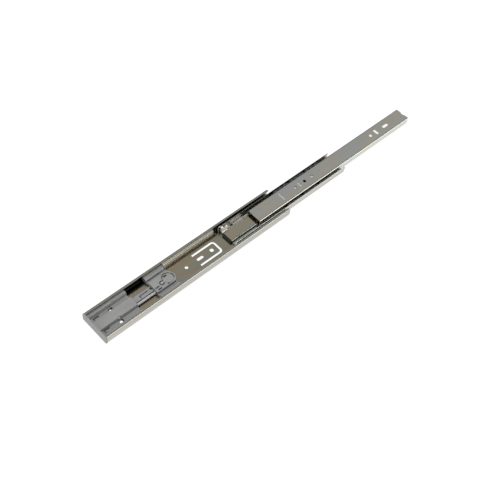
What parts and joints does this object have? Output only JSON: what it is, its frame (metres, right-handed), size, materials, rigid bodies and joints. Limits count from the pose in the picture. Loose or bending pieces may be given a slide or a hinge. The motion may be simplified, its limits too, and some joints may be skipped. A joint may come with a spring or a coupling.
{
  "type": "cabinet drawer slide",
  "caption": "Side-mounted full-extension ball-bearing drawer slide with three telescoping steel members, ball cages and a spring and damper soft-close unit.",
  "frame": {"origin": "centre of the cabinet face of the outer member, midway along its 305 mm length", "axes": "+X along the slide, the way the drawer opens; +Z out of the cabinet side towards the drawer; +Y across the slide"},
  "size_m": [0.561, 0.0458, 0.0127],
  "materials": {
    "zinc_steel": "bright zinc-plated cold-rolled strip, satin with a faint iridescence",
    "bright_steel": "polished bearing steel",
    "pin_steel": "turned steel",
    "spring_steel": "drawn spring wire",
    "grey_plastic": "fine-textured moulded acetal",
    "bar_plastic": "fine-textured moulded acetal",
    "cream_plastic": "smooth moulded acetal",
    "black_plastic": "matt moulded nylon"
  },
  "bodies": {
    "cabinet_member": {"outer_rail": "zinc_steel", "rear_housing": "grey_plastic", "guide_bar": "bar_plastic", "damper_cylinder": "pin_steel", "closing_spring": "spring_steel", "spring_anchor_pin": "pin_steel"},
    "middle_member": {"mid_rail": "zinc_steel", "mid_rear_bumper": "black_plastic", "cage_stop": "cream_plastic", "cage_stop_rivet": "pin_steel", "mid_front_stop": "pin_steel"},
    "drawer_member": {"inner_rail": "zinc_steel", "actuator_bracket": "zinc_steel", "bracket_rivet": "pin_steel", "lever_rivet": "pin_steel"},
    "left_cage": {"outer_cage_left": "zinc_steel", "outer_balls_left": "bright_steel"},
    "right_cage": {"outer_cage_right": "zinc_steel", "outer_balls_right": "bright_steel"},
    "middle_cage": {"inner_cage": "zinc_steel", "inner_balls_left": "bright_steel", "inner_balls_right": "bright_steel"},
    "close_carriage": {"carriage": "grey_plastic", "damper_rod": "cream_plastic", "catch_pivot_pin": "pin_steel"},
    "catch": {"catch_lever": "grey_plastic"},
    "release": {"release_lever": "black_plastic"}
  },
  "joints": [
    {"name": "mid_slide", "type": "slide", "parent": "cabinet_member", "child": "middle_member", "axis": [1, 0, 0], "range_m": [-0.117, 0]},
    {"name": "inner_slide", "type": "slide", "parent": "middle_member", "child": "drawer_member", "axis": [1, 0, 0], "range_m": [-0.14, 0.043]},
    {"name": "left_cage_slide", "type": "slide", "parent": "cabinet_member", "child": "left_cage", "axis": [1, 0, 0], "range_m": [-0.0585, 0]},
    {"name": "right_cage_slide", "type": "slide", "parent": "cabinet_member", "child": "right_cage", "axis": [1, 0, 0], "range_m": [-0.0585, 0]},
    {"name": "inner_cage_slide", "type": "slide", "parent": "middle_member", "child": "middle_cage", "axis": [1, 0, 0], "range_m": [-0.07, 0.0215]},
    {"name": "carriage_slide", "type": "slide", "parent": "cabinet_member", "child": "close_carriage", "axis": [1, 0, 0], "range_m": [-0.029, 0], "deforming": ["closing_spring"]},
    {"name": "catch_swing", "type": "hinge", "parent": "close_carriage", "child": "catch", "pos_m": [-0.0508, -0.0019, 0.0073], "axis": [0, 0, 1], "range_deg": [0, 8]},
    {"name": "release_swing", "type": "hinge", "parent": "drawer_member", "child": "release", "pos_m": [0.1845, 0, 0.0098], "axis": [0, 0, 1], "range_deg": [-6, 0], "stiffness_Nm_per_rad": 0.02}
  ],
  "couplings": [
    {"joint": "left_cage_slide", "follows": "mid_slide", "ratio": 0.5},
    {"joint": "right_cage_slide", "follows": "mid_slide", "ratio": 0.5},
    {"joint": "inner_cage_slide", "follows": "inner_slide", "ratio": 0.5},
    {"joint": "carriage_slide", "follows": "mid_slide", "ratio": 0.24786}
  ]
}
